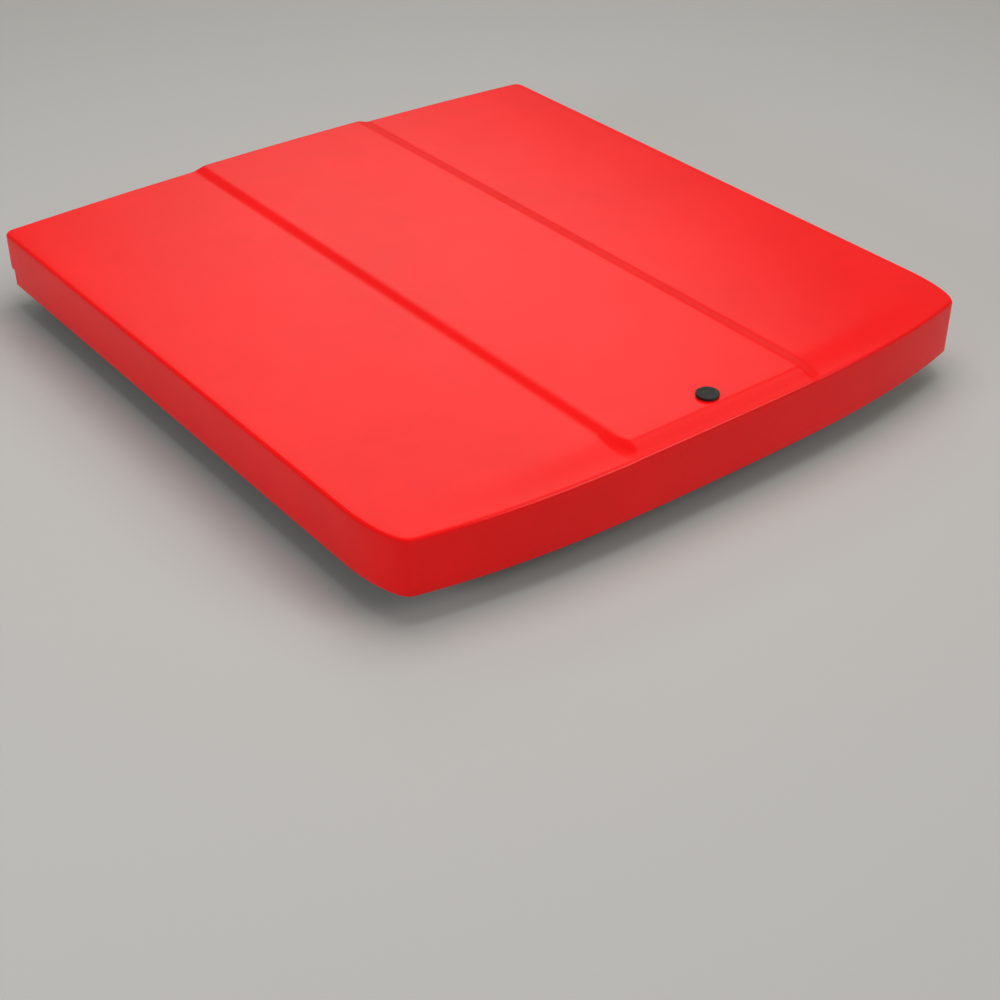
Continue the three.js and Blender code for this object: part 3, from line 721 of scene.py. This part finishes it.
def makeClampScrew(row, side):
    low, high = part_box(f"{row}_clamp_screw_{side}")
    outward = 1 if side == "right" else -1
    length = high.x - low.x
    start = Vector((low.x if outward > 0 else high.x, (low.y + high.y) / 2, (low.z + high.z) / 2))
    head = clampScrew["headHeight"]
    face = clampScrew["faceRadius"]
    seat = clampScrew["faceHeight"]
    radius = clampScrew["radius"]
    pitch = clampScrew["pitch"]
    profile = [(0, head - seat), (face, head - seat), (face, head), (radius, head)]
    padStart = length - clampScrew["pad"]
    at = head + seat
    while at < padStart - clampScrew["threadClear"]:
        profile += [(radius - clampScrew["threadDepth"], at + pitch * 0.5), (radius, at + pitch)]
        at += pitch
    pad = clampScrew["padRadius"]
    back = clampScrew["padBackEdge"]
    front = clampScrew["padFrontEdge"]
    profile += [(radius, padStart - 1 * mm), (radius, padStart), (pad - back, padStart)]
    profile += [(pad, padStart + back), (pad, length - front), (pad - front, length), (0, length)]
    bm = bmesh.new()
    addSpun(bm, profile, start, (outward, 0, 0), steps=24)
    headFoot = start + Vector((outward * head, 0, 0))
    addHexHead(bm, clampScrew["headRadius"], head, headFoot, (-outward, 0, 0))
    closeSpun(bm)
    finishPiece(bm, f"{row}_clamp_screw_{side}_threaded", f"{row}_screw_{side}", "zinc_plated_steel",
                [f"{row}_clamp_screw_{side}"])


# Fixings: a washer and a six-sided head for a bolt, a low dome with a hollow for a rivet.
# Widths and the head's height are shares of the head's radius, which each call gives in millimetres.
fixings = {
    "washer": 1.35,
    "washerHeight": 1.2 * mm,
    "washerEdge": 0.4 * mm,
    "headHeight": 0.8,
    "dome": ((1.0, 0), (0.96, 0.5), (0.75, 1.0), (0.4, 1.35), (0.38, 0.9)),  # share, height in millimetres
    "domeHollow": 0.8 * mm,
}


def makeBolts(name, body, radius, spots):
    washer = radius * fixings["washer"] * mm
    thick = fixings["washerHeight"]
    headHeight = radius * fixings["headHeight"] * mm
    ring = [(0, 0), (washer, 0), (washer, thick * 0.6), (washer - fixings["washerEdge"], thick), (0, thick)]
    bm = bmesh.new()
    for place, axis in spots:
        addSpun(bm, ring, place, axis, steps=24)
        addHexHead(bm, radius * mm, headHeight, Vector(place) + thick * Vector(axis), axis)
    closeSpun(bm)
    return finishPiece(bm, name, body, "zinc_plated_steel")


def makeRivets(name, body, radius, spots):
    dome = [(0, 0)]
    dome += [(radius * share * mm, height * mm) for share, height in fixings["dome"]]
    dome.append((0, fixings["domeHollow"]))
    bm = bmesh.new()
    for place, axis in spots:
        addSpun(bm, dome, place, axis, steps=16)
    closeSpun(bm)
    return finishPiece(bm, name, body, "mill_aluminium")


# Where the fixings sit, in millimetres: the head's radius, then distances from the edges of the piece held.
seats = {
    "hingeBase": {"radius": 4.2, "behindMiddle": 9, "apart": (-6.5, 6.5)},
    "hingeLeaf": {"radius": 4.2, "aheadOfBow": 5.3, "belowTop": (8, 20)},
    "cornerPlate": {"radius": 4.8, "inner": 14, "outer": 20, "crossLine": -7, "alongside": (46, 14)},
    "strutBase": {"radius": 4.2, "fromOutside": 4, "belowTop": 9, "fromEnds": 12},
    "strutTop": {"radius": 4.2, "belowTop": 12, "fromEnds": 10},
    "keeper": {"radius": 3.8, "fromOutside": (9, 24)},
    "rodGuide": {"radius": 3.4, "fromEnds": 7},
    "stringer": {"radius": 3.6, "fromSides": 8, "fromEnds": 12},
}


def boltHingeUp(side):
    seat = seats["hingeBase"]
    low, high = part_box(f"hinge_base_{side}")
    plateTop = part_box(f"corner_plate_{side}")[1].z
    middle = (low.x + high.x) / 2
    y = (low.y + high.y) / 2 - seat["behindMiddle"] * mm
    spots = [((middle + shift * mm, y, plateTop), (0, 0, 1)) for shift in seat["apart"]]
    makeBolts(f"hinge_base_bolts_{side}", "frame", seat["radius"], spots)

    seat = seats["hingeLeaf"]
    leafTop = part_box(f"hinge_leaf_{side}")[1].z
    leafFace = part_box("front_bow")[1].y + seat["aheadOfBow"] * mm
    spots = [((middle, leafFace, leafTop - drop * mm), (0, 1, 0)) for drop in seat["belowTop"]]
    makeBolts(f"hinge_leaf_bolts_{side}", "lid", seat["radius"], spots)


def boltCornerPlateDown(side, out):
    seat = seats["cornerPlate"]
    low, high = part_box(f"corner_plate_{side}")
    inner = (low.x if out > 0 else high.x) + out * seat["inner"] * mm
    outer = (high.x if out > 0 else low.x) - out * seat["outer"] * mm
    crossLine = seat["crossLine"] * mm
    spots = [(inner, crossLine), (outer, crossLine)]
    spots += [(outer, low.y + ahead * mm) for ahead in seat["alongside"]]
    spots = [((x, y, high.z), (0, 0, 1)) for x, y in spots]
    makeBolts(f"corner_plate_bolts_{side}", "frame", seat["radius"], spots)


def boltStrutOn(side, out):
    seat = seats["strutBase"]
    low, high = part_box(f"strut_base_bracket_{side}")
    face = (high.x if out > 0 else low.x) - out * seat["fromOutside"] * mm
    ends = (low.y + seat["fromEnds"] * mm, high.y - seat["fromEnds"] * mm)
    spots = [((face, y, high.z - seat["belowTop"] * mm), (-out, 0, 0)) for y in ends]
    makeBolts(f"strut_base_bolts_{side}", "frame", seat["radius"], spots)

    seat = seats["strutTop"]
    low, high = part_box(f"strut_top_bracket_{side}")
    face = high.x if out > 0 else low.x
    ends = (low.y + seat["fromEnds"] * mm, high.y - seat["fromEnds"] * mm)
    spots = [((face, y, high.z - seat["belowTop"] * mm), (out, 0, 0)) for y in ends]
    makeBolts(f"strut_top_bolts_{side}", "lid", seat["radius"], spots)


def fixLockRod(side, out):
    seat = seats["keeper"]
    low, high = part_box(f"keeper_{side}")
    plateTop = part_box(f"corner_plate_{side}")[1].z
    outer = high.x if out > 0 else low.x
    y = (low.y + high.y) / 2
    spots = [((outer - out * away * mm, y, plateTop), (0, 0, 1)) for away in seat["fromOutside"]]
    makeBolts(f"keeper_bolts_{side}", "frame", seat["radius"], spots)

    seat = seats["rodGuide"]
    low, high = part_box(f"rod_guide_{side}")
    y = (low.y + high.y) / 2
    ends = (low.x + seat["fromEnds"] * mm, high.x - seat["fromEnds"] * mm)
    makeRivets(f"rod_guide_screws_{side}", "lid", seat["radius"], [((x, y, low.z), (0, 0, -1)) for x in ends])


def rivetStringer(side):
    seat = seats["stringer"]
    low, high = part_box(f"stringer_{side}")
    across = (low.x + seat["fromSides"] * mm, high.x - seat["fromSides"] * mm)
    rearmost = low.y + seat["fromEnds"] * mm
    foremost = high.y - seat["fromEnds"] * mm
    spots = []
    for bow in ("front_bow", "middle_bow", "rear_bow"):
        bowLow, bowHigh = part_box(bow)
        y = max(rearmost, min((bowLow.y + bowHigh.y) / 2, foremost))
        spots += [((x, y, low.z), (0, 0, -1)) for x in across]
    makeRivets(f"stringer_rivets_{side}", "lid", seat["radius"], spots)


def boltSideUp(side):
    out = 1 if side == "right" else -1
    boltHingeUp(side)
    boltCornerPlateDown(side, out)
    boltStrutOn(side, out)
    fixLockRod(side, out)
    rivetStringer(side)


# A split ring through each hinge pin's head, to pull it by.
pullRing = {"radius": 7 * mm, "wire": 1.0 * mm, "wireSteps": 10, "fromEnd": 4 * mm, "drop": 6.5 * mm}


def makePullRing(side):
    low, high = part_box(f"hinge_pin_{side}")
    out = 1 if side == "right" else -1
    x = low.x + pullRing["fromEnd"] if out > 0 else high.x - pullRing["fromEnd"]
    wire = pullRing["wire"]
    centre = (x, (low.y + high.y) / 2, (low.z + high.z) / 2 - pullRing["drop"])
    loop = []
    for step in range(pullRing["wireSteps"] + 1):
        turn = 2 * math.pi * step / pullRing["wireSteps"]
        loop.append((pullRing["radius"] + wire * math.cos(turn), wire * math.sin(turn)))
    bm = bmesh.new()
    addSpun(bm, loop, centre, (1, 0, 0), steps=40)
    closeSpun(bm)
    return finishPiece(bm, f"hinge_pin_ring_{side}", f"hinge_pin_{side}", "chromed_steel")


makeDustCover()
makeLockBarrel()
for side in sides:
    makeStrut(side)
    boltSideUp(side)
    makePullRing(side)
    for row in clampRows:
        makeClampScrew(row, side)
print("lock, struts, screws and fixings made")


# Copies of CAD nodes with their edges broken: the width of each edge's rounding in millimetres.
edgeWidths = {
    "inner_liner": 0.8,
    "front_bow": 0.6, "middle_bow": 0.6, "rear_bow": 0.6, "stringer_right": 0.6, "stringer_left": 0.6,
    "skirt_seal": 3.0, "front_seal": 3.0, "rail_seal_right": 0.6, "rail_seal_left": 0.6,
    "side_rail_right": 0.7, "side_rail_left": 0.7, "front_rail": 0.7,
}
for side in sides:
    edgeWidths.update({
        f"corner_plate_{side}": 0.6, f"hinge_base_{side}": 0.7, f"hinge_leaf_{side}": 0.7,
        f"hinge_pin_{side}": 0.8, f"lock_rod_{side}": 0.4, f"rod_guide_{side}": 1.0, f"keeper_{side}": 0.6,
        f"strut_top_stud_{side}": 0.5, f"strut_top_bracket_{side}": 0.6, f"strut_base_bracket_{side}": 0.5,
    })
    for row in clampRows:
        edgeWidths[f"{row}_clamp_{side}"] = 1.2
edgeWidths.update({
    "lock_nut": 0.8, "key_cylinder": 0.4, "lock_cam": 0.5, "lock_gasket": 0.2, "cover_rivet": 0.5,
})
edgeBreaking = {
    "mergeWithin": 0.01 * mm,
    "flatAngle": math.radians(0.8),  # edges flatter than this are dissolved
    "sharpAngle": math.radians(27),  # and edges sharper than this are rounded
    "segments": 2,
}
slotOf = {part["node"]: part["material_slot"] for part in frame["record"]["subparts"]}


def breakEdges(node, width):
    source = frame["nodes"][node]
    bm = bmesh.new()
    bm.from_mesh(source.data)
    bmesh.ops.remove_doubles(bm, verts=bm.verts, dist=edgeBreaking["mergeWithin"])
    bmesh.ops.dissolve_limit(bm, angle_limit=edgeBreaking["flatAngle"], verts=bm.verts, edges=bm.edges)
    sharp = [e for e in bm.edges if e.is_manifold and e.calc_face_angle(0) > edgeBreaking["sharpAngle"]]
    bmesh.ops.bevel(bm, geom=sharp, offset=width * mm, offset_type="OFFSET",
                    segments=edgeBreaking["segments"], profile=0.5, affect="EDGES", clamp_overlap=True,
                    material=-1)
    material = linerFinish if node == "inner_liner" else None
    return finishPiece(bm, f"{node}_edged", source["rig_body"], slotOf[node], [node], material)


for node, width in edgeWidths.items():
    breakEdges(node, width)
print("edges broken on", len(edgeWidths), "pieces")


def makeFloor():
    bm = bmesh.new()
    bmesh.ops.create_grid(bm, x_segments=4, y_segments=4, size=studio["floorSize"] / 2)
    bmesh.ops.translate(bm, verts=bm.verts, vec=(0, 0, cadLow.z))
    mesh = bpy.data.meshes.new("studio_floor")
    bm.to_mesh(mesh)
    bm.free()
    floor = bpy.data.objects.new("studio_floor", mesh)
    bpy.context.scene.collection.objects.link(floor)
    material = bpy.data.materials.new("matt_studio_floor")
    material.use_nodes = True
    shader = material.node_tree.nodes["Principled BSDF"]
    shader.inputs["Base Color"].default_value = hexColour(studio["floorColour"])
    shader.inputs["Roughness"].default_value = studio["floorRoughness"]
    mesh.materials.append(material)


def addSoftbox(name, light):
    lamp = bpy.data.lights.new(name, "AREA")
    lamp.shape = "RECTANGLE"
    lamp.size, lamp.size_y = light["size"]
    lamp.energy = light["power"]
    holder = bpy.data.objects.new(name, lamp)
    place = Vector(light["place"])
    holder.location = place
    holder.visible_glossy = False  # no hard-edged mirror image of the lamp
    holder.rotation_euler = (Vector(light["aim"]) - place).to_track_quat("-Z", "Y").to_euler()
    bpy.context.scene.collection.objects.link(holder)


# An even sky with soft glows for the lid's top and its rear edge to mirror.
def makeSky():
    world = bpy.data.worlds.new("studio_sky")
    world.use_nodes = True
    tree = world.node_tree
    tree.nodes.clear()
    place = addNode(tree, "ShaderNodeTexCoord")
    strength = None
    for glow in studio["glows"]:
        towards = addNode(tree, "ShaderNodeVectorMath", settings={"operation": "DOT_PRODUCT"},
                          values={1: Vector(glow["towards"]).normalized()},
                          links={0: place.outputs["Generated"]})
        part = addNode(tree, "ShaderNodeMapRange", settings={"interpolation_type": "SMOOTHSTEP"},
                       values={"From Min": glow["edge"], "From Max": 1.0,
                               "To Min": 0.0, "To Max": glow["level"]},
                       links={"Value": towards.outputs["Value"]})
        total = addNode(tree, "ShaderNodeMath", settings={"operation": "ADD"},
                        values={0: studio["skyLow"]}, links={1: part.outputs["Result"]})
        if strength:
            tree.links.new(strength.outputs["Value"], total.inputs[0])
        strength = total
    light = addNode(tree, "ShaderNodeBackground", values={"Color": hexColour(studio["skyColour"])},
                    links={"Strength": strength.outputs["Value"]})
    addNode(tree, "ShaderNodeOutputWorld", links={"Surface": light.outputs["Background"]})
    bpy.context.scene.world = world


def makeCamera():
    turn, lift, roll = (math.radians(camera[name]) for name in ("azimuth", "elevation", "roll"))
    back = Vector((math.sin(turn) * math.cos(lift), -math.cos(turn) * math.cos(lift), math.sin(lift)))
    right = (-back).cross(Vector((0, 0, 1))).normalized()
    up = right.cross(-back)
    across = right * math.cos(roll) + up * math.sin(roll)
    upright = up * math.cos(roll) - right * math.sin(roll)
    data = bpy.data.cameras.new("camera")
    data.lens = camera["lens"]
    data.sensor_width = camera["sensor"]
    holder = bpy.data.objects.new("camera", data)
    turned = Matrix((across, upright, back)).transposed().to_4x4()
    holder.matrix_world = Matrix.Translation(camera["place"]) @ turned
    bpy.context.scene.collection.objects.link(holder)
    bpy.context.scene.camera = holder


makeFloor()
for lightName, light in studio["softboxes"].items():
    addSoftbox(lightName, light)
makeSky()
makeCamera()
bpy.context.scene.view_settings.view_transform = "Standard"
print("studio made")
